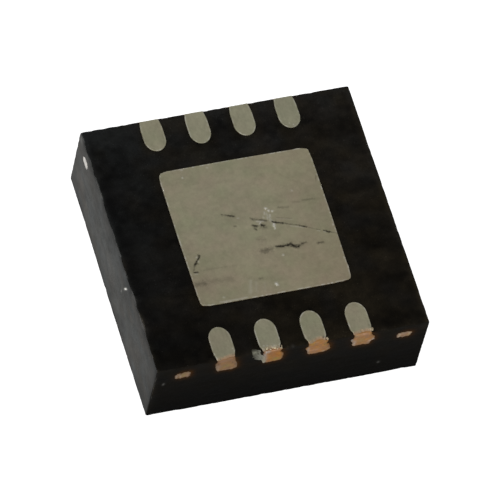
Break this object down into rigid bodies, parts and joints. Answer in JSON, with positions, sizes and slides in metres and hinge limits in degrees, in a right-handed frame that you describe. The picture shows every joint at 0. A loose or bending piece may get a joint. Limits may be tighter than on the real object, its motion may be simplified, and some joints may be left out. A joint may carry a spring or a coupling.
{
  "type": "low-dropout voltage regulator, leadless package",
  "caption": "Square leadless low-dropout voltage regulator chip, terminals up: two rows of flush lands with sawn copper ends and a central thermal pad.",
  "frame": {"origin": "centre of the marked face, which the package lies on", "axes": "+Z out of the terminal face, X along the two rows of lands, Y from the row of leads 1 to 4 to the row of leads 5 to 8"},
  "size_m": [0.003, 0.003, 0.0009],
  "materials": {
    "mould_compound": "matte",
    "copper": "satin",
    "matt_tin": "matte",
    "silicon": "polished",
    "die_attach": "satin",
    "gold_wire": "gloss"
  },
  "bodies": {
    "root": {"mould_body": "mould_compound", "thermal_pad": "copper", "thermal_pad_tin": "matt_tin", "lead_1": "copper", "lead_2": "copper", "lead_3": "copper", "lead_4": "copper", "lead_5": "copper", "lead_6": "copper", "lead_7": "copper", "lead_8": "copper", "lead_1_tin": "matt_tin", "lead_2_tin": "matt_tin", "lead_3_tin": "matt_tin", "lead_4_tin": "matt_tin", "lead_5_tin": "matt_tin", "lead_6_tin": "matt_tin", "lead_7_tin": "matt_tin", "lead_8_tin": "matt_tin", "silicon_die": "silicon", "die_attach_epoxy": "die_attach", "bond_wire_1": "gold_wire", "bond_wire_2": "gold_wire", "bond_wire_3": "gold_wire", "bond_wire_4": "gold_wire", "bond_wire_5": "gold_wire", "bond_wire_6": "gold_wire", "bond_wire_7": "gold_wire", "bond_wire_8": "gold_wire"}
  },
  "joints": []
}
